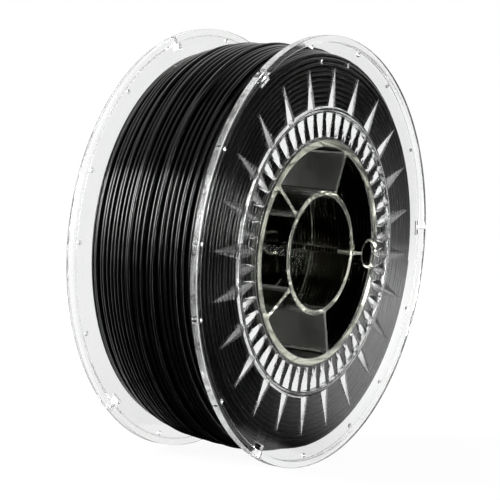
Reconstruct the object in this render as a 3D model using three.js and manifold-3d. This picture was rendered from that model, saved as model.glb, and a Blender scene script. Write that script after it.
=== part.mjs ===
// A one-kilogram filament spool: two clear moulded halves, and the black filament wound between
// them. The spool's axis is Y, its middle is the origin, and X runs out through the drive sockets.
// Sizes are in millimetres. A depth is measured inwards from the outer face of a half's rim.
import * as THREE from "three";
import { ConvexGeometry } from "three/addons/geometries/ConvexGeometry.js";
import { mergeVertices } from "three/addons/utils/BufferGeometryUtils.js";
import Module from "manifold-3d";

// The whole spool.
const flangeRadius = 100;
const spoolWidth = 70;
const seatGap = 0.3; // left where two pieces seat on each other

// The flange disc, with its raised rim.
const flangeThickness = 3.5;
const rimWidth = 3;
const rimEdge = 0.5; // the bevel on the rim's corners
const discDepth = 2; // how far the disc's outer face lies below the rim
const beadWidth = 1; // the flat top of the raised ring round the tooth ring
const beadRise = 0.8;
const beadSlope = 0.8; // how far its outer side runs out

// The sunburst: ridges on the disc that run outwards from the bead.
const spikeCount = 24;
const spikeTipRadius = 85.4;
const spikeBaseWidth = 6.8;
const spikeRise = 0.9;
const spikeRoot = 0.2; // how deep a spike's foot is sunk in the disc

// The tooth ring between the drum and the disc: a channel full of wedge teeth.
const toothRingRadius = 65.4;
const toothCount = 48;
const toothBaseWidth = 6.4; // at the channel's floor, as is the tip's
const toothTipWidth = 1.8;
const toothRidgeDrop = 0.4; // how far a tooth's ridge falls towards the drum
const channelWall = 0.8;
const channelFloor = 0.9;
const collarDepth = 1.6; // where the channel's inner wall ends

// The filament-end slots in the rim, and the small tie holes between them.
const slotCount = 3;
const slotAngle = 8; // degrees from X to the first slot
const slotLength = 7;
const slotHeight = 3.6;
const slotInset = 3.2; // the wall between the slot and the rim's edge
const slotMouth = 2;
const tieHoleRadius = 1.2;
const tieHoleInset = 4.7; // from a hole's middle to the rim's edge
const tieHoleSpreads = [9.8, 35.2]; // degrees to both sides of the middle between two slots

// The hub: a drum that the filament is wound on, a core tube for the spindle, and webs between.
const drumRadius = 52.3;
const drumWall = 3.3;
const drumDepth = 1;
const boreRadius = 26.5;
const coreWall = 2.5;
const coreDepth = 0.5;
const webCount = 5;
const webThickness = 1.6;
const webDraft = 0.5; // how much thicker a web is at the middle of the spool

// The blind socket that a winding machine's peg drives.
const socketSkin = 1.3; // what is left of the drum's wall behind the socket's bore
const socketBore = 6; // a radius
const socketWall = 1;
const socketLength = 12;
const socketFloor = 1.2;

// The filament.
const filamentDiameter = 1.75;
const woundRadius = 96; // over the crown, half-way between the flanges
const woundEdgeRadius = 89; // beside a flange
const turnCount = 24;
const turnGap = 0.35; // between the wound core and the outer layer of turns
const bandPitch = 12; // between the shallow ribs that bands of inner turns make
const bandDepth = 0.8;

// How finely round things are faceted.
const discSides = 72;
const toothRingSides = 48;
const drumSides = 60;
const coreSides = 40;
const socketSides = 24;
const holeSides = 10;
const turnSteps = 24;
const tubeSides = 6;
const crownSteps = 8;

// Sizes that follow from those above.
const halfWidth = spoolWidth / 2;
const discRadius = toothRingRadius + seatGap;
const ringDepth = discDepth - beadRise; // the tooth ring is level with the bead
const coreRadius = boreRadius + coreWall;
const tieHoleCircle = flangeRadius - tieHoleInset;
const socketCircle = drumRadius - socketSkin - socketBore;
const jointGap = seatGap / 2; // each half stops this far short of the middle
const fullCircle = 2 * Math.PI;

const wasm = await Module();
wasm.setup();

const clear = { roughness: 0.06, metalness: 0, transparent: true, opacity: 0.35 };
const flangePlastic = new THREE.MeshStandardMaterial({ color: 0xe9efec, ...clear });
const hubPlastic = new THREE.MeshStandardMaterial({ color: 0xb9c0ac, ...clear });
const filament = new THREE.MeshStandardMaterial({ color: 0x0b0b0c, roughness: 0.25, metalness: 0 });

// ---- geometry helpers ----

// The place at an angle round the axis, at a radius, on a plane of the given depth.
function at(angle, radius, y, sideways = 0) {
  const along = new THREE.Vector3(Math.cos(angle), 0, Math.sin(angle));
  const across = new THREE.Vector3(-Math.sin(angle), 0, Math.cos(angle));
  return along.multiplyScalar(radius).addScaledVector(across, sideways).setY(y);
}

// A closed ring turned about Y, with a flat of its outline facing +X, from [radius, y] corners.
function ringOf(corners, sides) {
  const area = corners.reduce((sum, [r, y], i) => {
    const [nextR, nextY] = corners[(i + 1) % corners.length];
    return sum + r * nextY - nextR * y;
  }, 0);
  const loop = area > 0 ? [...corners] : [...corners].reverse();
  loop.push(loop[0]);
  const profile = loop.map(([r, y]) => new THREE.Vector2(r, y));
  return new THREE.LatheGeometry(profile, sides, fullCircle / sides / 2, fullCircle);
}

// A plain tube along Y: its corners clear the circles, so neighbours with other facets still fit.
function tubeOf(inner, outer, low, high, sides) {
  const corners = [[holed(inner, sides), low], [outer, low], [outer, high], [holed(inner, sides), high]];
  return ringOf(corners, sides);
}

// The corner radius of a faceted hole that a round thing of this radius still passes.
function holed(radius, sides) {
  return radius / Math.cos(Math.PI / sides);
}

// A cylinder along Y, centred on the point at an angle and a radius.
function plugOf(radius, low, high, angle, circle, sides) {
  const plug = new THREE.CylinderGeometry(radius, radius, high - low, sides);
  const place = at(angle, circle, (low + high) / 2);
  return plug.translate(place.x, place.y, place.z);
}

// A block with its length across the radius at an angle, from one radius to another.
function blockOf(angle, inner, outer, width, low, high) {
  const corners = [];
  for (const radius of [inner, outer])
    for (const side of [-width / 2, width / 2])
      for (const y of [low, high]) corners.push(at(angle, radius, y, side));
  return new ConvexGeometry(corners);
}

// A closed geometry as a solid for joining and cutting, and back again.
function solidOf(geometry) {
  const bare = geometry.clone();
  for (const name of ["normal", "uv"]) bare.deleteAttribute(name);
  const merged = mergeVertices(bare, 1e-4);
  const mesh = new wasm.Mesh({
    numProp: 3,
    vertProperties: merged.attributes.position.array,
    triVerts: new Uint32Array(merged.index.array),
  });
  return new wasm.Manifold(mesh);
}

function geometryOf(solid) {
  const { vertProperties, triVerts } = solid.getMesh();
  const indexed = new THREE.BufferGeometry();
  indexed.setAttribute("position", new THREE.BufferAttribute(vertProperties, 3));
  indexed.setIndex(new THREE.BufferAttribute(triVerts, 1));
  const faceted = indexed.toNonIndexed();
  faceted.computeVertexNormals();
  return faceted;
}

function joined(base, additions, cuts = []) {
  const whole = additions.reduce((sum, piece) => sum.add(solidOf(piece)), solidOf(base));
  return geometryOf(cuts.reduce((left, cut) => left.subtract(solidOf(cut)), whole));
}

function meshOf(name, geometry, material) {
  const mesh = new THREE.Mesh(geometry, material);
  mesh.name = name;
  return mesh;
}

// ---- one moulded half, whose outer face looks along -Y ----

// The height on Y of a depth below the rim's outer face.
function down(depth) {
  return depth - halfWidth;
}

// A ridge with a triangular base that falls to a point further out, its foot sunk in the disc.
function spikeOf(angle) {
  const foot = down(discDepth + spikeRoot);
  const ridge = down(discDepth - spikeRise);
  const baseRadius = discRadius + beadWidth / 2;
  const sunk = (spikeRise + spikeRoot) / spikeRise; // the foot's size over the shown size
  const tip = baseRadius + (spikeTipRadius - baseRadius) * sunk;
  const side = (spikeBaseWidth / 2) * sunk;
  const corners = [at(angle, baseRadius, foot, -side), at(angle, baseRadius, foot, side)];
  return new ConvexGeometry([...corners, at(angle, baseRadius, ridge), at(angle, tip, foot)]);
}

// A wedge that fills the channel's width, broad at the outer wall and narrow at the drum. Its
// sides run on below the channel's floor to the middle of that floor.
function toothOf(angle) {
  const floor = flangeThickness - channelFloor;
  const foot = flangeThickness - channelFloor / 2;
  const ends = [
    [toothRingRadius - channelWall, channelWall / 2, ringDepth, toothBaseWidth],
    [drumRadius + seatGap + channelWall, -channelWall / 2, ringDepth + toothRidgeDrop, toothTipWidth],
  ];
  const corners = ends.flatMap(([radius, overlap, ridge, width]) => {
    const side = ((width / 2) * (foot - ridge)) / (floor - ridge);
    return [
      at(angle, radius, down(ridge)),
      at(angle, radius + overlap, down(foot), -side),
      at(angle, radius + overlap, down(foot), side),
    ];
  });
  return new ConvexGeometry(corners);
}

// The slot that grips the filament's end: a slot through the rim with a narrow mouth at the edge.
function slotCuts(angle) {
  const low = down(-1);
  const high = down(flangeThickness + 1);
  const top = flangeRadius - slotInset;
  const slot = blockOf(angle, top - slotHeight, top, slotLength, low, high);
  const mouth = blockOf(angle, top - slotHeight / 2, flangeRadius + 1, slotMouth, low, high);
  return [slot, mouth];
}

function repeated(count, first, make) {
  const step = fullCircle / count;
  return Array.from({ length: count }, (_, i) => make(first + i * step)).flat();
}

function flangeGeometry() {
  const back = down(flangeThickness);
  const face = down(discDepth);
  const lipRadius = flangeRadius - rimWidth;
  const inner = holed(discRadius, discSides);
  const corners = [
    [inner, down(ringDepth)],
    [inner + beadWidth, down(ringDepth)],
    [inner + beadWidth + beadSlope, face],
    [lipRadius - rimEdge, face],
    [lipRadius, down(0)],
    [flangeRadius - rimEdge, down(0)],
    [flangeRadius, down(rimEdge)],
    [flangeRadius, down(flangeThickness - rimEdge)],
    [flangeRadius - rimEdge, back],
    [inner, back],
  ];
  const spikes = repeated(spikeCount, 0, spikeOf);
  const first = THREE.MathUtils.degToRad(slotAngle);
  const slots = repeated(slotCount, first, slotCuts);
  const middle = first + Math.PI / slotCount;
  const holes = tieHoleSpreads.flatMap((spread) =>
    [-1, 1].flatMap((side) => {
      const start = middle + side * THREE.MathUtils.degToRad(spread);
      return repeated(slotCount, start, (angle) =>
        plugOf(tieHoleRadius, down(-1), back + 1, angle, tieHoleCircle, holeSides),
      );
    }),
  );
  return joined(ringOf(corners, discSides), spikes, [...slots, ...holes]);
}

function toothRingGeometry() {
  const back = down(flangeThickness);
  const floor = down(flangeThickness - channelFloor);
  const inner = holed(drumRadius + seatGap, toothRingSides);
  const corners = [
    [inner, back],
    [inner, down(collarDepth)],
    [inner + channelWall, down(collarDepth)],
    [inner + channelWall, floor],
    [toothRingRadius - channelWall, floor],
    [toothRingRadius - channelWall, down(ringDepth)],
    [toothRingRadius, down(ringDepth)],
    [toothRingRadius, back],
  ];
  return joined(ringOf(corners, toothRingSides), repeated(toothCount, 0, toothOf));
}

function drumGeometry() {
  const inner = drumRadius - drumWall;
  const drum = tubeOf(inner, drumRadius, down(drumDepth), -jointGap, drumSides);
  const high = down(drumDepth + socketLength + seatGap);
  const recess = plugOf(socketBore, down(drumDepth - 1), high, 0, socketCircle, socketSides);
  return joined(drum, [], [recess]);
}

// The socket's cup, whose far side is the drum's own wall.
function socketGeometry() {
  const mouth = down(drumDepth);
  const end = mouth + socketLength;
  const outer = plugOf(socketBore + socketWall, mouth, end, 0, socketCircle, socketSides);
  const bore = plugOf(socketBore, mouth - 1, end - socketFloor, 0, socketCircle, socketSides);
  const room = drumRadius - drumWall - seatGap;
  const inside = new THREE.CylinderGeometry(room, room, spoolWidth * 2, drumSides);
  inside.rotateY(fullCircle / drumSides / 2);
  return geometryOf(solidOf(outer).subtract(solidOf(bore)).intersect(solidOf(inside)));
}

// A radial web from the core tube to the drum, a little thicker at the middle of the spool.
function webGeometry(angle) {
  const mouth = down(drumDepth);
  const inner = coreRadius + seatGap;
  const outer = (drumRadius - drumWall) * Math.cos(Math.PI / drumSides) - seatGap;
  const corners = [];
  for (const radius of [inner, outer])
    for (const side of [-1, 1]) {
      corners.push(at(angle, radius, mouth, (side * webThickness) / 2));
      corners.push(at(angle, radius, -jointGap, (side * (webThickness + webDraft)) / 2));
    }
  return new ConvexGeometry(corners);
}

// The first web carries the drive socket, so it is cut back to the socket's wall.
function socketWebGeometry() {
  const room = socketBore + socketWall + seatGap;
  const high = down(drumDepth + socketLength + seatGap);
  const recess = plugOf(room, down(drumDepth - 1), high, 0, socketCircle, socketSides);
  return joined(webGeometry(0), [], [recess]);
}

function halfOf(side) {
  const half = new THREE.Group();
  half.add(meshOf(`${side}_flange`, flangeGeometry(), flangePlastic));
  half.add(meshOf(`${side}_tooth_ring`, toothRingGeometry(), flangePlastic));
  half.add(meshOf(`${side}_drum`, drumGeometry(), hubPlastic));
  const tube = tubeOf(boreRadius, coreRadius, down(coreDepth), -jointGap, coreSides);
  half.add(meshOf(`${side}_core_tube`, tube, hubPlastic));
  half.add(meshOf(`${side}_drive_socket`, socketGeometry(), hubPlastic));
  for (let i = 0; i < webCount; i++) {
    const web = i === 0 ? socketWebGeometry() : webGeometry((i * fullCircle) / webCount);
    half.add(meshOf(`${side}_web_${i + 1}`, web, hubPlastic));
  }
  return half;
}

// ---- the filament ----

// The outside radius of the winding, which is crowned between the flanges.
const woundHalfWidth = halfWidth - flangeThickness - seatGap;

function woundRadiusAt(y) {
  const share = y / woundHalfWidth;
  return woundRadius - (woundRadius - woundEdgeRadius) * share * share;
}

// The outline from one [radius, y] corner towards the next, with a shallow valley to the left of
// the way between each two ribs.
function bandsBetween([r, y], [nextR, nextY]) {
  const length = Math.hypot(nextR - r, nextY - y);
  const steps = 2 * Math.max(1, Math.round(length / bandPitch));
  return Array.from({ length: steps }, (_, i) => {
    const share = i / steps;
    const sink = i % 2 ? bandDepth / length : 0;
    return [r + (nextR - r) * share - (nextY - y) * sink, y + (nextY - y) * share + (nextR - r) * sink];
  });
}

// The inner layers, as one ring under the outer layer of turns. Bands of turns show on its two
// sides and round its bore.
function woundCoreGeometry() {
  const inner = holed(drumRadius + seatGap, turnSteps);
  const outer = woundEdgeRadius - filamentDiameter - turnGap;
  const bore = bandsBetween([inner, woundHalfWidth], [inner, -woundHalfWidth]);
  const nearSide = bandsBetween([inner, -woundHalfWidth], [outer, -woundHalfWidth]);
  const farSide = bandsBetween([outer, woundHalfWidth], [inner, woundHalfWidth]);
  const crown = Array.from({ length: crownSteps }, (_, i) => {
    const y = woundHalfWidth * ((2 * i) / crownSteps - 1);
    return [woundRadiusAt(y) - filamentDiameter - turnGap, y];
  });
  return ringOf([...bore, ...nearSide, ...crown, ...farSide], turnSteps);
}

// The middle line of the outer layer: a helix over the crown, whose two ends turn square to the
// flanges and run straight for one diameter.
function turnPath() {
  const points = [];
  const reach = woundHalfWidth - filamentDiameter - filamentDiameter / 2; // the corner takes a half
  const steps = turnCount * turnSteps;
  const half = fullCircle / turnSteps / 2;
  for (let i = 0; i <= steps; i++) {
    const y = reach * ((2 * i) / steps - 1);
    points.push(at(half + (i * fullCircle) / turnSteps, woundRadiusAt(y) - filamentDiameter / 2, y));
  }
  const first = points[0].clone().setY(-woundHalfWidth);
  const last = points[steps].clone().setY(woundHalfWidth);
  return [first, ...points, last];
}

// One unbroken tube along a line of points, with mitred joints and flat ends.
function tubeAlong(points, radius, sides) {
  const count = points.length;
  const rings = [];
  let across = new THREE.Vector3();
  for (let i = 0; i < count; i++) {
    const back = points[i].clone().sub(points[Math.max(i - 1, 0)]).normalize();
    const ahead = points[Math.min(i + 1, count - 1)].clone().sub(points[i]).normalize();
    const run = back.lengthSq() ? back : ahead;
    // The section is carried square to the run that comes in, then slid along it to the mitre.
    if (i === 0) across.set(points[0].x, 0, points[0].z).normalize();
    across.addScaledVector(run, -across.dot(run)).normalize();
    const other = new THREE.Vector3().crossVectors(run, across);
    const cut = run.clone().add(ahead.lengthSq() ? ahead : run).normalize();
    const ring = [];
    for (let j = 0; j < sides; j++) {
      const turn = (j * fullCircle) / sides;
      const offset = across.clone().multiplyScalar(radius * Math.cos(turn));
      offset.addScaledVector(other, radius * Math.sin(turn));
      offset.addScaledVector(run, -offset.dot(cut) / run.dot(cut));
      ring.push(offset.add(points[i]));
    }
    rings.push(ring);
  }
  const position = rings.flat().flatMap((corner) => corner.toArray());
  const index = [];
  for (let i = 0; i + 1 < count; i++)
    for (let j = 0; j < sides; j++) {
      const [a, b] = [i * sides + j, i * sides + ((j + 1) % sides)];
      index.push(a, b, a + sides, b, b + sides, a + sides);
    }
  const end = (count - 1) * sides;
  for (let j = 1; j + 1 < sides; j++) {
    index.push(0, j + 1, j);
    index.push(end, end + j, end + j + 1);
  }
  const geometry = new THREE.BufferGeometry();
  geometry.setAttribute("position", new THREE.Float32BufferAttribute(position, 3));
  geometry.setIndex(index);
  geometry.computeVertexNormals();
  return geometry;
}

// The least gap between a tube's own turns, measured between points over half a turn apart.
function leastGap(points, diameter, apart) {
  let least = Infinity;
  for (let i = 0; i < points.length; i++)
    for (let j = i + apart; j < points.length; j++) {
      least = Math.min(least, points[i].distanceTo(points[j]));
    }
  return least - diameter;
}

const turns = turnPath();
const turnsGap = leastGap(turns, filamentDiameter, turnSteps / 2);
console.log(`least gap between the filament's outer turns: ${turnsGap.toFixed(2)} mm`);

// ---- the assembly ----

const spool = new THREE.Group();
const nearHalf = halfOf("near");
const farHalf = halfOf("far");
farHalf.rotation.x = Math.PI; // the same moulding, turned over to face the near one
spool.add(nearHalf, farHalf);
spool.add(meshOf("filament_core", woundCoreGeometry(), filament));
spool.add(meshOf("filament_turns", tubeAlong(turns, filamentDiameter / 2, tubeSides), filament));

export default spool;
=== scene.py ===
import math

import bmesh
import bpy
import numpy as np
from mathutils import Matrix, Vector


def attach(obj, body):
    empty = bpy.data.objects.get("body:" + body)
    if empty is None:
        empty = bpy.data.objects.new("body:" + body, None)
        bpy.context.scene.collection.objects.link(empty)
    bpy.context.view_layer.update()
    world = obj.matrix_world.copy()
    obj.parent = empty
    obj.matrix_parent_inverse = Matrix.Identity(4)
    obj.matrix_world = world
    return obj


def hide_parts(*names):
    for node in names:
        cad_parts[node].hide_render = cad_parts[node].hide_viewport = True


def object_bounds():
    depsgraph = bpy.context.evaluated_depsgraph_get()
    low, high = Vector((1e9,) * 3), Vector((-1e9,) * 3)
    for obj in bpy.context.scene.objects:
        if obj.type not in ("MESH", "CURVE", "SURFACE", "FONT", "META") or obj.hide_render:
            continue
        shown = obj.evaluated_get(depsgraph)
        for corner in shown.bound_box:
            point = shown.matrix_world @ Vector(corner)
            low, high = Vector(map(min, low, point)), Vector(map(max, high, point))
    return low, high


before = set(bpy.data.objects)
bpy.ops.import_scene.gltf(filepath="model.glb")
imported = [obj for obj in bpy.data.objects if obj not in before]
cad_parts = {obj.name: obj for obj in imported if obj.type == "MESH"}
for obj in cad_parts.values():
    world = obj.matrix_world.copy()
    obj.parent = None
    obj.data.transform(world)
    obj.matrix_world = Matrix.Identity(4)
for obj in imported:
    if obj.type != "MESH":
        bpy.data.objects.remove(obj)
CAD_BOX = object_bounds()

# A clear plastic spool full of black filament. Its axis is Y and its middle is the origin.
# Sizes are in metres. A depth is measured inwards from the outer face of a half's rim.
MM = 0.001
FULL = 2 * math.pi

# ---- sizes of the mouldings, the solids' own ----
LOW, HIGH = (Vector(corner) for corner in CAD_BOX)
HALF_WIDTH = HIGH.y
FLANGE_RADIUS = HIGH.x
SEAT_GAP = 0.3 * MM
FLANGE_THICKNESS = 3.5 * MM
RIM_WIDTH = 3.0 * MM
DISC_DEPTH = 2.0 * MM
BEAD_WIDTH = 1.0 * MM
BEAD_RISE = 0.8 * MM
BEAD_SLOPE = 0.8 * MM
RING_DEPTH = DISC_DEPTH - BEAD_RISE

TOOTH_RING_RADIUS = 65.4 * MM
DISC_RADIUS = TOOTH_RING_RADIUS + SEAT_GAP
TOOTH_COUNT = 48
TOOTH_BASE = 6.4 * MM
TOOTH_TIP = 1.8 * MM
TOOTH_DROP = 0.4 * MM
CHANNEL_WALL = 0.8 * MM
CHANNEL_FLOOR = 0.9 * MM
COLLAR_DEPTH = 1.6 * MM

SPIKE_COUNT = 24
SPIKE_BASE = DISC_RADIUS + BEAD_WIDTH / 2
SPIKE_TIP = 85.4 * MM
SPIKE_WIDTH = 6.8 * MM
SPIKE_RISE = 0.9 * MM
SPIKE_ROOT = 0.2 * MM

SLOT_COUNT = 3
SLOT_ANGLE = math.radians(8)
SLOT_LENGTH = 7.0 * MM
SLOT_HEIGHT = 3.6 * MM
SLOT_INSET = 3.2 * MM
SLOT_MOUTH = 2.0 * MM
TIE_HOLE_RADIUS = 1.2 * MM
TIE_HOLE_INSET = 4.7 * MM
TIE_HOLE_SPREADS = (math.radians(9.8), math.radians(35.2))

DRUM_RADIUS = 52.3 * MM
DRUM_WALL = 3.3 * MM
DRUM_DEPTH = 1.0 * MM
BORE_RADIUS = 26.5 * MM
CORE_WALL = 2.5 * MM
CORE_DEPTH = 0.5 * MM
WEB_COUNT = 5
WEB_THICKNESS = 1.6 * MM
WEB_DRAFT = 0.5 * MM
SOCKET_SKIN = 1.3 * MM
SOCKET_BORE = 6.0 * MM
SOCKET_WALL = 1.0 * MM
SOCKET_LENGTH = 12.0 * MM
SOCKET_FLOOR = 1.2 * MM

# ---- sizes of what shows on the mouldings only here ----
FILLET = 0.3 * MM  # on the mouldings' edges
FINE_FILLET = FILLET / 2
RIM_SLOPE = 0.5 * MM  # how far the raised rim's inner side runs in
TOOTH_SINK = 0.1 * MM  # how far a tooth's outer end lies below the channel's wall
WEB_FLARE = 0.7 * MM  # how much wider a web's end is on each side
FLARE_LENGTH = 1.5 * MM
FLARE_FALL = 1.6  # how steeply the flare thins out along that length
GATE_CIRCLE = 88.0 * MM  # two small round marks just outside the ridges' tips
GATE_ANGLES = (math.radians(82.5), math.radians(98))
GATE_RADIUS = 1.3 * MM
GATE_RISE = 0.45 * MM
GATE_ROUNDING = 0.85  # how much of a quarter turn its sides close over, up to a small flat top

# ---- sizes of the winding ----
STRAND = 1.75 * MM
WOUND_HALF = HALF_WIDTH - FLANGE_THICKNESS - SEAT_GAP
STRAND_REACH = WOUND_HALF - STRAND / 2  # how far along Y a strand's middle gets
WOUND_RADIUS = 95.0 * MM  # of the winding's smooth outline, half-way between the flanges
NEAR_EDGE_RADIUS = 91.5 * MM  # and beside each flange
FAR_EDGE_RADIUS = 89.0 * MM

OUTER_TURNS = 27
OUTER_INSET = 1.3 * STRAND  # from that outline in to the middle of a strand that nothing lifts
OUTER_JITTER = 0.3  # how much the pitch of the turns varies, as a share of it
OUTER_WANDER = 0.5 * MM
SECOND_TURNS = 29
SECOND_INSET = 1.675 * STRAND
SECOND_JITTER = 0.12
SECOND_WANDER = 0.25 * MM
DRIFT = 3.0  # how far the phase of that wander drifts from turn to turn, in radians
DRIFT_WAVES = (1.3, 2.1)

FRONT_PITCH = 2.35 * MM  # of the turns against a flange
FRONT_WOBBLE = 0.4 * MM
BACK_PITCH = 1.95 * MM  # of the row behind them
BACK_WOBBLE = 0.3 * MM
BACK_DEPTH = 1.9 * MM
BACK_START = 0.8 * MM  # how much further out than the front row it starts
WOBBLE_WAVES = (0.37, 0.61, 1.13)
SIDE_LEAN = 0.25 * MM  # how far these turns stray from their flange
LEAN_WAVES = (0.29, 0.83, 1.7)
CLIMB_START = 0.55  # of a turn, where it steps over the turn before it
CLIMB_LENGTH = 0.4

INNER_PITCH = 1.03 * STRAND
INSIDE_INSET = 2.2 * STRAND  # from the flanges in to the dark body that nothing shows of
INSIDE_DEPTH = 3.2 * STRAND  # and from the winding's outline

# ---- how finely things are drawn, and how they are cut ----
DISC_SIDES = 288
HUB_SIDES = 240
SMALL_SIDES = 48
HOLE_SIDES = 24
GATE_RINGS = 4
FLARE_STEPS = 16  # along twice a flare's length
INSIDE_SIDES = 144
INSIDE_STEPS = 16
OUTER_STEPS = 160  # along one turn of a strand
OUTER_SIDES = 10  # round a strand
SECOND_SIDES = 8
FRONT_STEPS = 144
BACK_STEPS = 96
ROW_SIDES = 8
INNER_STEPS = 90
INNER_SIDES = 6
SOFT_STEPS = 5  # on each side of the running mean along a strand
ARC_STEP = math.radians(6)  # of a fillet
SMOOTH_ANGLE = math.radians(7)
OVERSHOOT = 1 * MM  # how far a cutting body runs on past what it cuts
TRIM_WIDTH = 20 * MM  # of the ring that trims the socket if a thicker wall stands out of the drum

# ---- finishes ----
CLEAR = ((0.95, 0.965, 0.955), (0.985, 0.99, 0.985))  # the darkest and lightest of a tint
# painted shade: the hub's walls are tinted much darker than the clear plastic, which darkens the bore and
# the spaces between the webs
HUB_SHADE_TINT = ((0.30, 0.31, 0.28), (0.38, 0.39, 0.36))
WEB_TINT = ((0.75, 0.76, 0.72), (0.85, 0.86, 0.82))
HUB_END_TINT = ((0.84, 0.85, 0.77), (0.93, 0.94, 0.86))
BLACK = ((0.0005, 0.0005, 0.0005), (0.003, 0.003, 0.0032))
WHITE = (1, 1, 1, 1)
PLASTIC_IOR = 1.59
FILAMENT_IOR = 1.5
# Strands smoother than about 0.27 are blurred by the denoiser where they show through plastic.
FILAMENT_ROUGHNESS = (0.28, 0.31)
NOISE_RANGE = (0.3, 0.7)  # where most of a noise's values lie
FLAT_FACE = 0.99  # the least Y of the normal of a plain face
WEB_SIDE = 0.98  # how squarely a web's side looks across its own radius
MATT_SIDE = 0.9  # and how squarely it looks along X if it is matt

# ---- levels of light ----
FLOOR_GLOW = 0.93  # of the floor's own near the object, on top of what falls on it
FLOOR_FADE = (0.12, 0.6)  # how far from the middle that glow starts to rise to white, and ends
FLOOR_GREY = 0.1
FLOOR_MIRRORED_GREY = 0.02
FLOOR_REACH = 3.0  # from its middle to its edges
STUDIO_LEVEL = 0.01
BACKDROP_AZIMUTH = math.radians(39)  # from +X towards +Y: the middle of the white paper behind
BACKDROP_ELEVATION = math.radians(12)
BACKDROP_REACH = math.radians(46)
BACKDROP_BLUR = math.radians(6)
PAPER_AZIMUTH = math.radians(59)  # square to the front edge of the white paper on the floor
PAPER_EDGE = (-0.069, 0.034)  # where that paper's soft edge starts and ends, along its azimuth
PAPER_REACH = (0.9, 3.2)  # and how far from the spool it starts to fade, and ends
PAPER_SIDE = (0.04, 0.22)  # on X, where it fades in from its left side
FLAG_AZIMUTH = math.radians(-31)  # the middle of the dark card that the flanges' flats mirror
FLAG_REACH = math.radians(15)
FLAG_FLOOR_AZIMUTH = math.radians(-42)  # and of its shade on the floor, seen from the spool
FLAG_FLOOR_REACH = math.radians(14)
FLAG_BLUR = math.radians(4)
ROOM_LEVEL = 0.4  # of the dim room beside the camera
ROOM_AZIMUTH = math.radians(-45)
ROOM_ELEVATION = math.radians(38)
ROOM_REACH = math.radians(18)
ROOM_BLUR = math.radians(10)
HAZE_LEVEL = 0.2  # of the far paper, low on the right, which the near flange mirrors
HAZE_AZIMUTH = math.radians(-22)
HAZE_ELEVATION = math.radians(-4)
HAZE_REACH = math.radians(7.5)
HAZE_BLUR = math.radians(3)
NO_BOUNCES = 0.5  # a count of bounces under this is none
FEW_BOUNCES = 3.5  # and under this is three at most
MOST_BOUNCES = 96  # that light may take inside the plastic

# ---- the photograph's view ----
VIEW_AZIMUTH = math.radians(56.953)  # from +Y towards +X, the way the camera looks
VIEW_ELEVATION = math.radians(2.936)
VIEW_ROLL = math.radians(5.234)
VIEW_DISTANCE = 0.9084
VIEW_AIM = (-0.00397, -0.00224)  # sideways and up from the spool's middle
VIEW_LENS = 139.0


# ---- meshes ----

def at(angle, radius, y, sideways=0.0):
    """The place at an angle round the axis, at a radius, and some way across it."""
    along = Vector((math.cos(angle), 0, math.sin(angle)))
    across = Vector((-math.sin(angle), 0, math.cos(angle)))
    return along * radius + across * sideways + Vector((0, y, 0))


def down(depth):
    """The Y of a depth below the near rim's outer face."""
    return depth - HALF_WIDTH


def around(count, first=0.0):
    """Angles spread evenly over a full turn."""
    return [first + FULL * i / count for i in range(count)]


def mesh_of(name, verts, faces):
    mesh = bpy.data.meshes.new(name)
    mesh.from_pydata([tuple(v) for v in verts], [], [tuple(f) for f in faces])
    mesh.update()
    return mesh


def facing_out(mesh):
    work = bmesh.new()
    work.from_mesh(mesh)
    bmesh.ops.recalc_face_normals(work, faces=work.faces)
    work.to_mesh(mesh)
    work.free()
    return mesh


def rounded(corners):
    """A closed profile of (radius, y) points from (radius, y, fillet) corners."""
    points = []
    for i, (r, y, fillet) in enumerate(corners):
        here = Vector((r, y))
        if not fillet:
            points.append(tuple(here))
            continue
        back = (Vector(corners[i - 1][:2]) - here).normalized()
        ahead = (Vector(corners[(i + 1) % len(corners)][:2]) - here).normalized()
        half = back.angle(ahead) / 2
        reach = fillet / math.tan(half)
        centre = here + (back + ahead).normalized() * fillet / math.sin(half)
        start, end = here + back * reach - centre, here + ahead * reach - centre
        steps = math.ceil(start.angle(end) / ARC_STEP)
        for step in range(steps + 1):
            points.append(tuple(centre + start.slerp(end, step / steps).normalized() * fillet))
    return points


def ring_mesh(name, profile, sides):
    """A closed ring turned about Y from a closed profile."""
    count = len(profile)
    verts, faces = [], []
    for i in range(sides):
        angle = FULL * (i + 0.5) / sides
        verts += [at(angle, r, y) for r, y in profile]
    for i in range(sides):
        a, b = i * count, (i + 1) % sides * count
        faces += [(a + j, a + (j + 1) % count, b + (j + 1) % count, b + j) for j in range(count)]
    return facing_out(mesh_of(name, verts, faces))


def hull_mesh(name, groups):
    """One mesh of separate convex bodies, each the hull of a group of points."""
    whole = bmesh.new()
    for group in groups:
        verts = [whole.verts.new(point) for point in group]
        result = bmesh.ops.convex_hull(whole, input=verts, use_existing_faces=False)
        loose = [v for v in result["geom_interior"] if isinstance(v, bmesh.types.BMVert)]
        bmesh.ops.delete(whole, geom=loose, context="VERTS")
    bmesh.ops.recalc_face_normals(whole, faces=whole.faces)
    mesh = bpy.data.meshes.new(name)
    whole.to_mesh(mesh)
    whole.free()
    return mesh


def circle_points(radius, y, angle, circle, sides):
    """Points round a circle across Y, centred at an angle and a radius."""
    middle = at(angle, circle, y)
    turns = around(sides)
    return [middle + Vector((radius * math.cos(turn), 0, radius * math.sin(turn))) for turn in turns]


def plug_points(radius, low, high, angle, circle, sides):
    """The corners of a cylinder along Y, centred at an angle and a radius."""
    return [point for y in (low, high) for point in circle_points(radius, y, angle, circle, sides)]


def block_points(angle, inner, outer, width, low, high):
    """The corners of a block that lies along a radius."""
    sides = (-width / 2, width / 2)
    return [at(angle, r, y, side) for r in (inner, outer) for side in sides for y in (low, high)]


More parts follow.
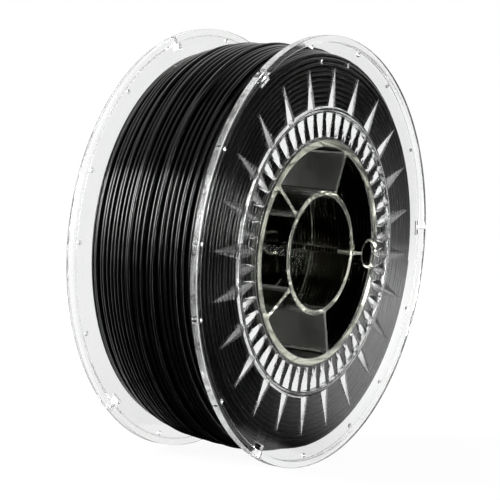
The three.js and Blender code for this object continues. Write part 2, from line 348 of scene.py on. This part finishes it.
def combined(name, base, steps):
    """A mesh after exact joins and cuts: steps is a list of (operation, mesh)."""
    body = bpy.data.objects.new(name, base)
    bpy.context.collection.objects.link(body)
    tools = []
    for operation, mesh in steps:
        tool = bpy.data.objects.new(name + "_tool", mesh)
        bpy.context.collection.objects.link(tool)
        change = body.modifiers.new(operation, "BOOLEAN")
        change.operation = operation
        change.solver = "EXACT"
        change.object = tool
        tools.append(tool)
    shown = body.evaluated_get(bpy.context.evaluated_depsgraph_get())
    mesh = bpy.data.meshes.new_from_object(shown)
    for thing in [body, *tools]:
        bpy.data.objects.remove(thing)
    mesh.name = name
    return mesh


def turned_over(mesh):
    """The same moulding facing the other way: half a turn about X."""
    copy = mesh.copy()
    copy.transform(Matrix.Rotation(math.pi, 4, "X"))
    return copy


def finish_of(face):
    """Which of a piece's materials a face gets.

    0 on a plain face and everywhere between the ridges' tips and the rim, 1 on the side of a ridge,
    tooth, bead, tube or web, and 2 on the rim and on the sides of the two webs that look along X.
    A piece with fewer materials gets its last one instead.
    """
    radius = math.hypot(face.center.x, face.center.z)
    across = abs(face.normal.z * face.center.x - face.normal.x * face.center.z) / radius
    matt_web = radius < DRUM_RADIUS and across > WEB_SIDE and abs(face.normal.x) > MATT_SIDE
    if radius > FLANGE_RADIUS - RIM_WIDTH or matt_web:
        return 2
    flat = abs(face.normal.y) > FLAT_FACE
    return 0 if flat or radius > SPIKE_TIP else 1


def piece_of(name, mesh, materials, replaced, smooth=SMOOTH_ANGLE):
    """Puts a mesh in the scene as a finished piece of the spool."""
    mesh.polygons.foreach_set("use_smooth", [True] * len(mesh.polygons))
    mesh.set_sharp_from_angle(angle=smooth)
    mesh.materials.clear()
    for material in materials:
        mesh.materials.append(material)
    for face in mesh.polygons:
        face.material_index = min(finish_of(face), len(materials) - 1)
    piece = bpy.data.objects.new(name, mesh)
    bpy.context.collection.objects.link(piece)
    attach(piece, "root")
    if replaced:
        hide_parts(*replaced)


# ---- one moulded half, whose outer face looks along -Y ----

def spike_points(angle):
    """A ridge on the disc that narrows to a point further out, its foot sunk in the disc."""
    foot, ridge = down(DISC_DEPTH + SPIKE_ROOT), down(DISC_DEPTH - SPIKE_RISE)
    sunk = (SPIKE_RISE + SPIKE_ROOT) / SPIKE_RISE
    tip = SPIKE_BASE + (SPIKE_TIP - SPIKE_BASE) * sunk
    side = SPIKE_WIDTH / 2 * sunk
    corners = [at(angle, SPIKE_BASE, foot, -side), at(angle, SPIKE_BASE, foot, side)]
    return [*corners, at(angle, SPIKE_BASE, ridge), at(angle, tip, foot)]


def tooth_points(angle):
    """A wedge across the channel, broad at the outer wall and narrow at the drum.

    Its sides run on below the channel's floor to the middle of that floor.
    """
    floor = FLANGE_THICKNESS - CHANNEL_FLOOR
    foot = FLANGE_THICKNESS - CHANNEL_FLOOR / 2
    outer, inner = TOOTH_RING_RADIUS - CHANNEL_WALL, DRUM_RADIUS + SEAT_GAP + CHANNEL_WALL
    points = []
    for radius, overlap, ridge, width in (
        (outer, CHANNEL_WALL / 2, RING_DEPTH + TOOTH_SINK, TOOTH_BASE),
        (inner, -CHANNEL_WALL / 2, RING_DEPTH + TOOTH_DROP, TOOTH_TIP),
    ):
        side = width / 2 * (foot - ridge) / (floor - ridge)
        points.append(at(angle, radius + overlap / 2, down(ridge)))
        points += [at(angle, radius + overlap, down(foot), way * side) for way in (-1, 1)]
    return points


def gate_points(angle):
    """A low round dome on the disc, its foot sunk in the disc."""
    foot = down(DISC_DEPTH + SPIKE_ROOT)
    points = []
    for ring in range(GATE_RINGS):
        lift = ring / (GATE_RINGS - 1)
        radius = GATE_RADIUS * math.cos(lift * math.pi / 2 * GATE_ROUNDING)
        y = foot - (GATE_RISE + SPIKE_ROOT) * math.sin(lift * math.pi / 2)
        points += circle_points(radius, y, angle, GATE_CIRCLE, HOLE_SIDES)
    return points


def slot_groups(angle):
    """The slot that grips the filament's end, and its narrow mouth in the rim."""
    low, high = down(-OVERSHOOT), down(FLANGE_THICKNESS + OVERSHOOT)
    top = FLANGE_RADIUS - SLOT_INSET
    outside = FLANGE_RADIUS + OVERSHOOT
    slot = block_points(angle, top - SLOT_HEIGHT, top, SLOT_LENGTH, low, high)
    mouth = block_points(angle, top - SLOT_HEIGHT / 2, outside, SLOT_MOUTH, low, high)
    return slot, mouth


def tie_holes():
    """Small holes through the flange, in two pairs between each slot and the next."""
    low, high = down(-OVERSHOOT), down(FLANGE_THICKNESS + OVERSHOOT)
    middle = SLOT_ANGLE + math.pi / SLOT_COUNT
    circle = FLANGE_RADIUS - TIE_HOLE_INSET
    return [
        plug_points(TIE_HOLE_RADIUS, low, high, angle, circle, HOLE_SIDES)
        for spread in TIE_HOLE_SPREADS
        for side in (-1, 1)
        for angle in around(SLOT_COUNT, middle + side * spread)
    ]


def flange_mesh():
    """The disc with its raised rim, bead, ridges, slots and holes."""
    inner = DISC_RADIUS
    lip = FLANGE_RADIUS - RIM_WIDTH
    profile = rounded([
        (inner, down(RING_DEPTH), FINE_FILLET),
        (inner + BEAD_WIDTH, down(RING_DEPTH), FILLET),
        (inner + BEAD_WIDTH + BEAD_SLOPE, down(DISC_DEPTH), FILLET),
        (lip - RIM_SLOPE, down(DISC_DEPTH), FILLET),
        (lip, down(0), FILLET),
        (FLANGE_RADIUS, down(0), FILLET),
        (FLANGE_RADIUS, down(FLANGE_THICKNESS), FILLET),
        (inner, down(FLANGE_THICKNESS), FINE_FILLET),
    ])
    ridges = [spike_points(angle) for angle in around(SPIKE_COUNT)]
    gates = [gate_points(angle) for angle in GATE_ANGLES]
    slots, mouths = zip(*(slot_groups(angle) for angle in around(SLOT_COUNT, SLOT_ANGLE)))
    return combined("flange", ring_mesh("disc", profile, DISC_SIDES), [
        ("UNION", hull_mesh("ridges", ridges + gates)),
        ("DIFFERENCE", hull_mesh("slots", [*slots, *tie_holes()])),
        ("DIFFERENCE", hull_mesh("mouths", mouths)),
    ])


def tooth_ring_mesh():
    """The channel between the drum and the disc, with its wedge teeth."""
    back, floor = down(FLANGE_THICKNESS), down(FLANGE_THICKNESS - CHANNEL_FLOOR)
    inner = DRUM_RADIUS + SEAT_GAP
    profile = rounded([
        (inner, back, FINE_FILLET),
        (inner, down(COLLAR_DEPTH), FINE_FILLET),
        (inner + CHANNEL_WALL, down(COLLAR_DEPTH), FINE_FILLET),
        (inner + CHANNEL_WALL, floor, 0),
        (TOOTH_RING_RADIUS - CHANNEL_WALL, floor, 0),
        (TOOTH_RING_RADIUS - CHANNEL_WALL, down(RING_DEPTH), FINE_FILLET),
        (TOOTH_RING_RADIUS, down(RING_DEPTH), FINE_FILLET),
        (TOOTH_RING_RADIUS, back, FINE_FILLET),
    ])
    teeth = hull_mesh("teeth", [tooth_points(angle) for angle in around(TOOTH_COUNT)])
    return combined("tooth_ring", ring_mesh("channel", profile, DISC_SIDES), [("UNION", teeth)])


def web_mesh(angle):
    """A radial web with flared ends, a little thicker at the middle of the spool."""
    inner, outer = BORE_RADIUS + CORE_WALL / 2, DRUM_RADIUS - DRUM_WALL / 2
    core, drum = BORE_RADIUS + CORE_WALL, DRUM_RADIUS - DRUM_WALL
    shares = [i / FLARE_STEPS for i in range(FLARE_STEPS + 1)]
    radii = [inner]
    radii += [core + 2 * FLARE_LENGTH * share for share in shares]
    radii += [drum - 2 * FLARE_LENGTH * (1 - share) for share in shares]
    radii.append(outer)
    verts = []
    for radius in radii:
        near = min(max(radius - core, 0), max(drum - radius, 0)) / FLARE_LENGTH
        flare = WEB_FLARE * math.exp(-FLARE_FALL * near)
        mouth_side = WEB_THICKNESS / 2 + flare
        middle_side = (WEB_THICKNESS + WEB_DRAFT) / 2 + flare
        for way in (-1, 1):
            verts.append(at(angle, radius, down(DRUM_DEPTH), way * mouth_side))
            verts.append(at(angle, radius, -SEAT_GAP / 2, way * middle_side))
    faces = [(0, 1, 3, 2), tuple(len(verts) - 4 + i for i in (0, 2, 3, 1))]
    for i in range(0, len(verts) - 4, 4):
        faces += [
            (i, i + 2, i + 6, i + 4), (i + 2, i + 3, i + 7, i + 6),
            (i + 3, i + 1, i + 5, i + 7), (i + 1, i, i + 4, i + 5),
        ]
    return facing_out(mesh_of("web", verts, faces))


def tube_mesh(name, inner, outer, depth):
    """A tube from a depth to the middle of the spool, with its mouth's edges filleted."""
    mouth, middle = down(depth), -SEAT_GAP / 2
    profile = rounded([
        (inner, middle, 0), (inner, mouth, FILLET),
        (outer, mouth, FILLET), (outer, middle, FINE_FILLET),
    ])
    return ring_mesh(name, profile, HUB_SIDES)


def hub_mesh():
    """The drum, the core tube, the webs and the drive socket, in one."""
    circle = DRUM_RADIUS - SOCKET_SKIN - SOCKET_BORE
    mouth = down(DRUM_DEPTH)
    above = mouth - OVERSHOOT
    end = mouth + SOCKET_LENGTH
    cup = plug_points(SOCKET_BORE + SOCKET_WALL, mouth, end, 0, circle, SMALL_SIDES)
    bore = plug_points(SOCKET_BORE, above, end - SOCKET_FLOOR, 0, circle, SMALL_SIDES)
    webs = [("UNION", web_mesh(angle)) for angle in around(WEB_COUNT)]
    core = tube_mesh("core", BORE_RADIUS, BORE_RADIUS + CORE_WALL, CORE_DEPTH)
    drum = tube_mesh("drum", DRUM_RADIUS - DRUM_WALL, DRUM_RADIUS, DRUM_DEPTH)
    outside = rounded([
        (DRUM_RADIUS, above, 0), (DRUM_RADIUS, 0, 0),
        (DRUM_RADIUS + TRIM_WIDTH, 0, 0), (DRUM_RADIUS + TRIM_WIDTH, above, 0),
    ])
    return combined("hub", drum, [
        *webs,
        ("UNION", core),
        ("UNION", hull_mesh("cup", [cup])),
        ("DIFFERENCE", hull_mesh("socket", [bore])),
        ("DIFFERENCE", ring_mesh("outside", outside, HUB_SIDES)),
    ])


# ---- the filament ----

rng = np.random.default_rng(11)  # the same draws each time


def crown(y):
    """The radius of the winding's smooth outline at a Y."""
    share = y / WOUND_HALF
    edge = np.where(y < 0, NEAR_EDGE_RADIUS, FAR_EDGE_RADIUS)
    return WOUND_RADIUS - (WOUND_RADIUS - edge) * share * share


def wave(angles, size, waves):
    """A smooth wander along a strand: a few sines of random phase."""
    total = np.zeros_like(angles)
    for rate in waves:
        total += np.sin(angles * rate + rng.uniform(0, FULL)) / len(waves)
    return size * total


def strand_mesh(name, paths, sides):
    """One mesh of round strands. A path is (angles, radii, ys), and runs round the Y axis."""
    all_verts, all_faces, first = [], [], 0
    turns = np.linspace(0, FULL, sides, endpoint=False)
    for angles, radii, ys in paths:
        outward = np.stack([np.cos(angles), np.zeros_like(angles), np.sin(angles)], 1)
        points = outward * radii[:, None]
        points[:, 1] = ys
        along = np.gradient(points, axis=0)
        along /= np.linalg.norm(along, axis=1)[:, None]
        across = outward - along * np.sum(outward * along, 1)[:, None]
        across /= np.linalg.norm(across, axis=1)[:, None]
        other = np.cross(along, across)
        ring = across[:, None] * np.cos(turns)[None, :, None]
        ring += other[:, None] * np.sin(turns)[None, :, None]
        verts = (points[:, None] + STRAND / 2 * ring).reshape(-1, 3)
        count = len(points)
        a = np.arange(count - 1)[:, None] * sides + np.arange(sides)[None, :]
        b = np.arange(count - 1)[:, None] * sides + (np.arange(sides)[None, :] + 1) % sides
        quads = np.stack([a, a + sides, b + sides, b], 2).reshape(-1, 4) + first
        last = first + (count - 1) * sides
        ends = [list(range(first, first + sides)), list(range(last, last + sides))[::-1]]
        all_verts.append(verts)
        all_faces += quads.tolist() + ends
        first += count * sides
    return facing_out(mesh_of(name, np.concatenate(all_verts), all_faces))


def rest_on(ys, radii, under):
    """Lifts a turn so that it lies on those laid before it, at each angle."""
    lifted = radii.copy()
    for _, low_radii, low_ys in under:
        apart = np.abs(ys - low_ys)
        touch = apart < STRAND
        lift = low_radii + np.sqrt(np.maximum(STRAND**2 - apart**2, 0))
        lifted = np.where(touch, np.maximum(lifted, lift), lifted)
    return lifted


def softened(values):
    """A running mean along a strand, which is too stiff to follow each step."""
    kernel = np.hanning(2 * SOFT_STEPS + 3)[1:-1]
    padded = np.pad(values, SOFT_STEPS, mode="edge")
    return np.convolve(padded, kernel / kernel.sum(), mode="valid")


def layer(count, direction, inset, jitter, wander, under):
    """A layer of a strand laid over the layer under it, as a list of (angles, radii, ys) turns."""
    pitches = 1 + rng.uniform(-jitter, jitter, count)
    starts = np.concatenate([[0], np.cumsum(pitches)])
    starts = (starts / starts[-1] * 2 - 1) * STRAND_REACH * direction
    angles = np.linspace(0, FULL, OUTER_STEPS + 1)
    share = angles / FULL
    drift = wave(np.arange(float(count)), DRIFT, DRIFT_WAVES)
    turns = []
    for i in range(count):
        ys = starts[i] + (starts[i + 1] - starts[i]) * share
        sway = wander * np.sin(angles + drift[i]) * np.sin(angles / 2) ** 2
        ys = np.clip(ys + sway, -STRAND_REACH, STRAND_REACH)
        radii = rest_on(ys, crown(ys) - inset, under + turns)
        turns.append((angles + FULL * i, radii, ys))
    return turns


def joined(turns):
    """The turns of a layer as one strand's path."""
    angles, radii, ys = (np.concatenate([turn[i][:-1] for turn in turns]) for i in range(3))
    return angles, softened(radii), softened(ys)


def outer_layers():
    """The two layers that show between the flanges: one strand each, the upper one first."""
    second = layer(SECOND_TURNS, 1, SECOND_INSET, SECOND_JITTER, SECOND_WANDER, [])
    outer = layer(OUTER_TURNS, -1, OUTER_INSET, OUTER_JITTER, OUTER_WANDER, second)
    return joined(outer), joined(second)


def side_spiral(y, inner, outer, pitch, steps, wobble):
    """A row of turns beside a flange, as one strand that climbs a pitch in each turn.

    Half of the pitch comes evenly and half in one step.
    """
    count = int((outer - inner) / pitch)
    angles = np.linspace(0, FULL * count, steps * count + 1)
    share = angles / FULL
    climb = np.floor(share) + np.clip((share % 1 - CLIMB_START) / CLIMB_LENGTH, 0, 1)
    radii = inner + pitch * (climb + share) / 2 + wave(angles, wobble, WOBBLE_WAVES)
    ys = y - math.copysign(1, y) * np.abs(wave(angles, SIDE_LEAN, LEAN_WAVES))
    return angles, radii, ys


def side_rows(sign, edge):
    """The two rows of turns that show through a flange, out to the winding's edge radius."""
    y = sign * STRAND_REACH
    start = DRUM_RADIUS + SEAT_GAP + STRAND / 2
    front = side_spiral(y, start, edge - STRAND, FRONT_PITCH, FRONT_STEPS, FRONT_WOBBLE)
    behind = y - sign * BACK_DEPTH
    back = side_spiral(behind, start + BACK_START, edge, BACK_PITCH, BACK_STEPS, BACK_WOBBLE)
    return [front, back]


def inner_layer():
    """The first layer, wound on the drum, which shows through the hub."""
    count = int(2 * STRAND_REACH / INNER_PITCH)
    angles = np.linspace(0, FULL * count, INNER_STEPS * count + 1)
    ys = -STRAND_REACH + 2 * STRAND_REACH * angles / angles[-1]
    radii = np.full_like(angles, DRUM_RADIUS + SEAT_GAP + STRAND / 2)
    return angles, radii, ys


def inside_mesh():
    """The layers that nothing shows of, as one dark body inside the strands."""
    edge = WOUND_HALF - INSIDE_INSET
    outside = [(crown(y) - INSIDE_DEPTH, y) for y in np.linspace(-edge, edge, INSIDE_STEPS + 1)]
    inner = DRUM_RADIUS + SEAT_GAP + STRAND
    return ring_mesh("inside", [(inner, -edge), *outside, (inner, edge)], INSIDE_SIDES)


# ---- nodes ----

def maths(tree, operation, *values):
    """A sum or comparison of floats and of other nodes' outputs."""
    node = tree.nodes.new("ShaderNodeMath")
    node.operation = operation
    for socket, value in zip(node.inputs, values):
        if isinstance(value, float):
            socket.default_value = value
        else:
            tree.links.new(value, socket)
    return node.outputs[0]


def mapped(tree, value, before, after, smooth=False):
    """Carries a value from one range to another."""
    node = tree.nodes.new("ShaderNodeMapRange")
    if smooth:
        node.interpolation_type = "SMOOTHSTEP"
    node.inputs["From Min"].default_value, node.inputs["From Max"].default_value = before
    node.inputs["To Min"].default_value, node.inputs["To Max"].default_value = after
    tree.links.new(value, node.inputs["Value"])
    return node.outputs["Result"]


def noise_of(tree, scale, detail):
    """A noise that is fixed to the object."""
    place = tree.nodes.new("ShaderNodeTexCoord")
    noise = tree.nodes.new("ShaderNodeTexNoise")
    noise.inputs["Scale"].default_value = scale
    noise.inputs["Detail"].default_value = detail
    tree.links.new(place.outputs["Object"], noise.inputs["Vector"])
    return noise.outputs["Fac"]


def tinted(tree, value, tint):
    """A colour between the two of a tint, by a noise."""
    ramp = tree.nodes.new("ShaderNodeValToRGB")
    for stop, position, colour in zip(ramp.color_ramp.elements, NOISE_RANGE, tint):
        stop.position = position
        stop.color = (*colour, 1)
    tree.links.new(value, ramp.inputs["Fac"])
    return ramp.outputs["Color"]


def bumped(tree, shader, height, distance):
    """Roughens a shader's surface by a noise, up to a distance."""
    bump = tree.nodes.new("ShaderNodeBump")
    bump.inputs["Distance"].default_value = distance
    tree.links.new(height, bump.inputs["Height"])
    tree.links.new(bump.outputs["Normal"], shader.inputs["Normal"])


def along(tree, output, way, unit=False):
    """How far the place or direction in a texture coordinate lies along a way."""
    place = tree.nodes.new("ShaderNodeTexCoord").outputs[output]
    if unit:
        shorten = tree.nodes.new("ShaderNodeVectorMath")
        shorten.operation = "NORMALIZE"
        tree.links.new(place, shorten.inputs[0])
        place = shorten.outputs["Vector"]
    product = tree.nodes.new("ShaderNodeVectorMath")
    product.operation = "DOT_PRODUCT"
    product.inputs[1].default_value = way
    tree.links.new(place, product.inputs[0])
    return product.outputs["Value"]


def within(tree, output, way, reach, blur):
    """1 in the directions within a reach of a way, and 0 outside its soft edge."""
    edge = (math.cos(reach + blur), math.cos(reach - blur))
    return mapped(tree, along(tree, output, way, unit=True), edge, (0.0, 1.0), smooth=True)


def way_to(azimuth, elevation):
    """A direction: azimuth 0 is +X, and a quarter turn is +Y."""
    level = math.cos(elevation)
    return Vector((level * math.cos(azimuth), level * math.sin(azimuth), math.sin(elevation)))


# ---- materials ----

def new_material(name):
    material = bpy.data.materials.new(name)
    material.use_nodes = True
    tree = material.node_tree
    return material, tree, tree.nodes["Principled BSDF"]


def clear_plastic(name, tint, roughness, ripple, gleam=1.0):
    """Polystyrene: clear but for a tint, smudges in its gloss and the ripple of a moulding."""
    material, tree, shader = new_material(name)
    shader.inputs["Transmission Weight"].default_value = 1.0
    shader.inputs["Specular Tint"].default_value = (gleam, gleam, gleam, 1)
    shader.inputs["IOR"].default_value = PLASTIC_IOR
    smudges = noise_of(tree, scale=60, detail=4)
    tree.links.new(tinted(tree, smudges, tint), shader.inputs["Base Color"])
    smooth, rough = roughness
    shader.inputs["Roughness"].default_value = smooth
    if rough > smooth:
        tree.links.new(mapped(tree, smudges, NOISE_RANGE, roughness), shader.inputs["Roughness"])
    bumped(tree, shader, noise_of(tree, scale=140, detail=2), ripple)
    return material


def black_filament():
    """Glossy black strand, drawn through a die: a soft, uneven gloss under a sharper, even one."""
    material, tree, shader = new_material("filament_black")
    shader.inputs["IOR"].default_value = FILAMENT_IOR
    cloud = noise_of(tree, scale=90, detail=4)
    wear = noise_of(tree, scale=300, detail=3)
    tree.links.new(tinted(tree, cloud, BLACK), shader.inputs["Base Color"])
    tree.links.new(mapped(tree, wear, NOISE_RANGE, FILAMENT_ROUGHNESS), shader.inputs["Roughness"])
    shader.inputs["Specular IOR Level"].default_value = 0.15
    shader.inputs["Coat Weight"].default_value = 0.8
    shader.inputs["Coat Roughness"].default_value = 0.16
    bumped(tree, shader, noise_of(tree, scale=250, detail=2), distance=0.02 * MM)
    return material


def white_share(tree, flag, paper):
    """How much of the white background a ray gets.

    All of it where the camera looks, straight or through the plastic. Light that a moulding turned
    inside itself gets it too, after three passes through its surface at most, but it isn't seen past
    a dark card unless it leaves by the polished side of a ridge or a tooth. Any other reflection
    gets what lies on the white paper, which ends short of the camera's side of the spool.
    """
    path = tree.nodes.new("ShaderNodeLightPath")
    unscattered = maths(tree, "LESS_THAN", path.outputs["Diffuse Depth"], NO_BOUNCES)
    through = maths(tree, "MULTIPLY", path.outputs["Is Transmission Ray"], unscattered)
    unturned = maths(tree, "LESS_THAN", path.outputs["Glossy Depth"], NO_BOUNCES)
    straight = maths(tree, "MULTIPLY", through, unturned)
    shallow = maths(tree, "LESS_THAN", path.outputs["Transmission Depth"], FEW_BOUNCES)
    beside = maths(tree, "SUBTRACT", 1.0, flag)
    unflagged = maths(tree, "MAXIMUM", path.outputs["Is Singular Ray"], beside)
    turned = maths(tree, "MULTIPLY", through, maths(tree, "MULTIPLY", shallow, unflagged))
    seen = maths(tree, "MAXIMUM", path.outputs["Is Camera Ray"], straight)
    return maths(tree, "MAXIMUM", seen, maths(tree, "MAXIMUM", turned, paper))


def floor_paper(tree, reach):
    """1 on the white paper on the floor, and 0 outside its soft edges."""
    across = along(tree, "Object", way_to(PAPER_AZIMUTH, 0))
    sideways = along(tree, "Object", Vector((1, 0, 0)))
    edge = mapped(tree, across, PAPER_EDGE, (0.0, 1.0), smooth=True)
    side = mapped(tree, sideways, PAPER_SIDE, (0.0, 1.0), smooth=True)
    near = mapped(tree, reach, PAPER_REACH, (1.0, 0.0))
    return maths(tree, "MULTIPLY", maths(tree, "MULTIPLY", edge, side), near)


def floor_material():
    """White paper that melts into the white around it further out, and keeps the object's shadow."""
    material, tree, shader = new_material("floor_white")
    seen = tree.nodes.new("ShaderNodeLightPath").outputs["Is Camera Ray"]
    grey = mapped(tree, seen, (0.0, 1.0), (FLOOR_MIRRORED_GREY, FLOOR_GREY))
    tree.links.new(grey, shader.inputs["Base Color"])
    shader.inputs["Roughness"].default_value = 0.7
    shader.inputs["Specular IOR Level"].default_value = 0.0
    shader.inputs["Emission Color"].default_value = WHITE
    place = tree.nodes.new("ShaderNodeTexCoord")
    reach = tree.nodes.new("ShaderNodeVectorMath")
    reach.operation = "LENGTH"
    tree.links.new(place.outputs["Object"], reach.inputs[0])
    fade = mapped(tree, reach.outputs["Value"], FLOOR_FADE, (FLOOR_GLOW, 1.0))
    paper = floor_paper(tree, reach.outputs["Value"])
    flag = within(tree, "Object", way_to(FLAG_FLOOR_AZIMUTH, 0), FLAG_FLOOR_REACH, FLAG_BLUR)
    glow = maths(tree, "MULTIPLY", fade, white_share(tree, flag, paper))
    tree.links.new(glow, shader.inputs["Emission Strength"])
    return material


# ---- stage, light and camera ----

def add_floor():
    ways = ((-1, -1), (1, -1), (1, 1), (-1, 1))
    corners = [(x * FLOOR_REACH, y * FLOOR_REACH, 0) for x, y in ways]
    mesh = mesh_of("floor", corners, [(0, 1, 2, 3)])
    floor = bpy.data.objects.new("floor", mesh)
    floor.location.z = LOW.z
    mesh.materials.append(floor_material())
    bpy.context.collection.objects.link(floor)


def add_world():
    """White where the camera looks and behind the spool, and a dark studio all round."""
    world = bpy.data.worlds.new("studio")
    world.use_nodes = True
    bpy.context.scene.world = world
    tree = world.node_tree
    tree.nodes.clear()
    out = tree.nodes.new("ShaderNodeOutputWorld")
    studio = tree.nodes.new("ShaderNodeBackground")
    middle = way_to(BACKDROP_AZIMUTH, BACKDROP_ELEVATION)
    paper = within(tree, "Generated", middle, BACKDROP_REACH, BACKDROP_BLUR)
    flag = within(tree, "Generated", way_to(FLAG_AZIMUTH, 0), FLAG_REACH, FLAG_BLUR)
    share = white_share(tree, flag, paper)
    room = within(tree, "Generated", way_to(ROOM_AZIMUTH, ROOM_ELEVATION), ROOM_REACH, ROOM_BLUR)
    dim = mapped(tree, room, (0.0, 1.0), (STUDIO_LEVEL, ROOM_LEVEL))
    haze = within(tree, "Generated", way_to(HAZE_AZIMUTH, HAZE_ELEVATION), HAZE_REACH, HAZE_BLUR)
    far = maths(tree, "MAXIMUM", dim, maths(tree, "MULTIPLY", haze, HAZE_LEVEL))
    strength = maths(tree, "MAXIMUM", far, share)
    tree.links.new(strength, studio.inputs["Strength"])
    studio.inputs["Color"].default_value = WHITE
    tree.links.new(studio.outputs[0], out.inputs["Surface"])


def new_lamp(name, width, height, radiance):
    """A glowing rectangle that the camera doesn't see."""
    data = bpy.data.lights.new(name, "AREA")
    data.shape = "RECTANGLE"
    data.size, data.size_y = width, height
    data.energy = radiance * math.pi * width * height
    lamp = bpy.data.objects.new(name, data)
    lamp.visible_camera = False
    bpy.context.collection.objects.link(lamp)
    return lamp


def add_softbox(name, azimuth, elevation, distance, width, height, radiance):
    """A lamp that faces the spool, with its azimuth and elevation in degrees."""
    lamp = new_lamp(name, width, height, radiance)
    way = way_to(math.radians(azimuth), math.radians(elevation))
    lamp.location = way * distance
    lamp.rotation_euler = way.to_track_quat("Z", "Y").to_euler()


def add_floor_panel(name, x, y, width, height, radiance):
    """A dim sheet just above the floor, as a lit patch of paper that glossy things mirror."""
    panel = new_lamp(name, width, height, radiance)
    panel.location = (x, y, LOW.z + 1 * MM)
    panel.rotation_euler = (math.pi, 0, 0)


def add_camera():
    sine, cosine = math.sin(VIEW_ELEVATION), math.cos(VIEW_ELEVATION)
    ahead = Vector((math.sin(VIEW_AZIMUTH) * cosine, math.cos(VIEW_AZIMUTH) * cosine, -sine))
    level = ahead.cross(Vector((0, 0, 1))).normalized()
    upright = level.cross(ahead)
    right = level * math.cos(VIEW_ROLL) + upright * math.sin(VIEW_ROLL)
    up = upright * math.cos(VIEW_ROLL) - level * math.sin(VIEW_ROLL)
    aim = right * VIEW_AIM[0] + up * VIEW_AIM[1]
    data = bpy.data.cameras.new("photo_view")
    data.lens = VIEW_LENS
    data.clip_start = 0.01
    camera = bpy.data.objects.new("photo_view", data)
    turn = Matrix((right, up, -ahead)).transposed()
    camera.matrix_world = Matrix.Translation(aim - ahead * VIEW_DISTANCE) @ turn.to_4x4()
    bpy.context.collection.objects.link(camera)
    bpy.context.scene.camera = camera


# ---- making it ----

def add_mouldings():
    """The two halves of the spool: a flange, a tooth ring and a hub each."""
    flange_clear = clear_plastic("flange_clear", CLEAR, roughness=(0.035, 0.05), ripple=0.01 * MM)
    teeth_clear = clear_plastic("teeth_clear", CLEAR, roughness=(0.035, 0.06), ripple=0.03 * MM)
    facet_clear = clear_plastic("facet_clear", CLEAR, roughness=(0.0, 0.0), ripple=0.02 * MM)
    rim_clear = clear_plastic("rim_clear", CLEAR, roughness=(0.05, 0.2), ripple=0.3 * MM, gleam=0.12)
    # the hub's walls: clear plastic with a dark tint as painted shade in its bore and between its webs,
    # and no gloss
    hub_shaded_clear = clear_plastic("hub_shaded_clear", HUB_SHADE_TINT, roughness=(0.035, 0.05), ripple=0.02 * MM, gleam=0.0)
    web_clear = clear_plastic("web_clear", WEB_TINT, roughness=(0.45, 0.55), ripple=0.02 * MM, gleam=0.3)
    end_clear = clear_plastic("hub_end_clear", HUB_END_TINT, roughness=(0.05, 0.12), ripple=0.04 * MM)
    hub_nodes = ["drum", "core_tube", "drive_socket"] + [f"web_{i + 1}" for i in range(WEB_COUNT)]
    mouldings = (
        (flange_mesh(), [flange_clear, facet_clear, rim_clear], "flange_plastic", ["flange"]),
        (tooth_ring_mesh(), [teeth_clear, facet_clear], "flange_plastic", ["tooth_ring"]),
        (hub_mesh(), [end_clear, hub_shaded_clear, web_clear], "hub_plastic", hub_nodes),
    )
    for side in ("near", "far"):
        for mesh, materials, slot, nodes in mouldings:
            shape = mesh.copy() if side == "near" else turned_over(mesh)
            name = f"{side}_{mesh.name}_moulding"
            piece_of(name, shape, materials, [f"{side}_{node}" for node in nodes])


def add_strands(name, paths, sides, finish, replaced):
    """A piece of round strands, smooth all over."""
    piece_of(name, strand_mesh(name, paths, sides), finish, replaced, smooth=math.pi)


def add_filament():
    """The strands that show, and the dark body inside them."""
    finish = [black_filament()]
    outer, second = outer_layers()
    add_strands("filament_outer_turns", [outer], OUTER_SIDES, finish, ["filament_turns"])
    add_strands("filament_second_layer", [second], SECOND_SIDES, finish, [])
    add_strands("filament_near_side", side_rows(-1, NEAR_EDGE_RADIUS), ROW_SIDES, finish, [])
    add_strands("filament_far_side", side_rows(1, FAR_EDGE_RADIUS), ROW_SIDES, finish, [])
    add_strands("filament_inner_layer", [inner_layer()], INNER_SIDES, finish, [])
    piece_of("filament_inside", inside_mesh(), finish, ["filament_core"])


def add_lamps():
    add_softbox("left_softbox", 150, 17.5, distance=1.2, width=0.28, height=0.5, radiance=40.0)
    add_softbox("left_low_softbox", 150, 1.5, distance=1.25, width=0.28, height=0.19, radiance=16.0)
    add_softbox("front_softbox", 266, 8, distance=1.3, width=0.5, height=0.4, radiance=34.0)
    add_softbox("top_softbox", 170, 60, distance=1.2, width=0.9, height=0.7, radiance=0.7)
    add_floor_panel("left_panel", x=-0.65, y=0.38, width=0.35, height=0.35, radiance=4.0)
    add_floor_panel("front_panel", x=-0.1, y=-0.5, width=0.2, height=0.5, radiance=2.0)


add_camera()
add_mouldings()
add_filament()
add_floor()
add_world()
add_lamps()

scene = bpy.context.scene
scene.view_settings.view_transform = "Standard"
scene.cycles.max_bounces = MOST_BOUNCES
scene.cycles.transmission_bounces = MOST_BOUNCES
scene.cycles.glossy_bounces = MOST_BOUNCES
